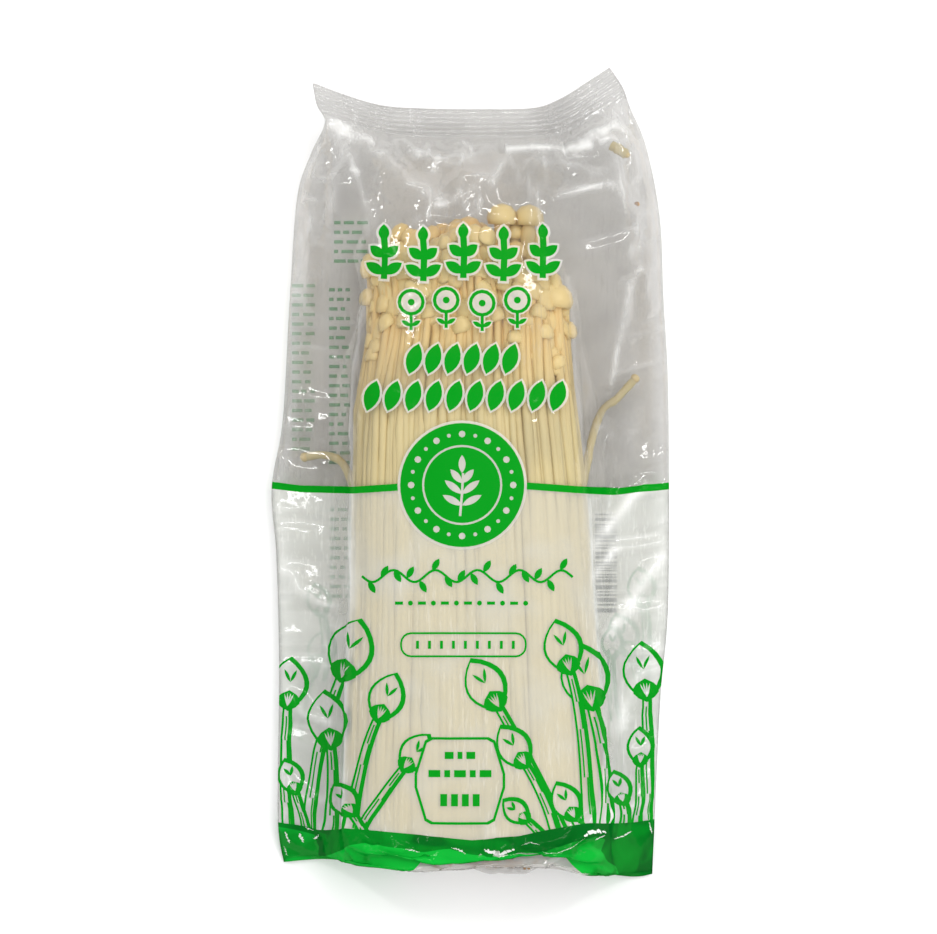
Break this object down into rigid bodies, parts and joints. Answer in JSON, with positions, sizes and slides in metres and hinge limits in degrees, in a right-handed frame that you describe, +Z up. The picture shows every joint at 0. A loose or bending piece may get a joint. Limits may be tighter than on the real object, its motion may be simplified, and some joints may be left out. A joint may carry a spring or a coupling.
{
  "type": "bagged enoki mushroom bunch",
  "caption": "Dense bunch of long thin pale mushrooms with small button caps, lying flat in a clear printed film bag with a crimped top seal.",
  "frame": {"origin": "on the surface that the bag lies on, under the middle of the bag's outline", "axes": "+X to the right of someone who looks down on the printed front with the caps away from them, +Y from the cut root end to the caps and the top seal, +Z up out of the surface"},
  "size_m": [0.0904, 0.1832, 0.0306],
  "materials": {
    "mushroom": "moist pale mushroom flesh, satin",
    "film": "thin clear glossy film, part printed in green over translucent white"
  },
  "bodies": {
    "root": {"mushroom_bunch": "mushroom", "film_bag": "film"}
  },
  "joints": []
}
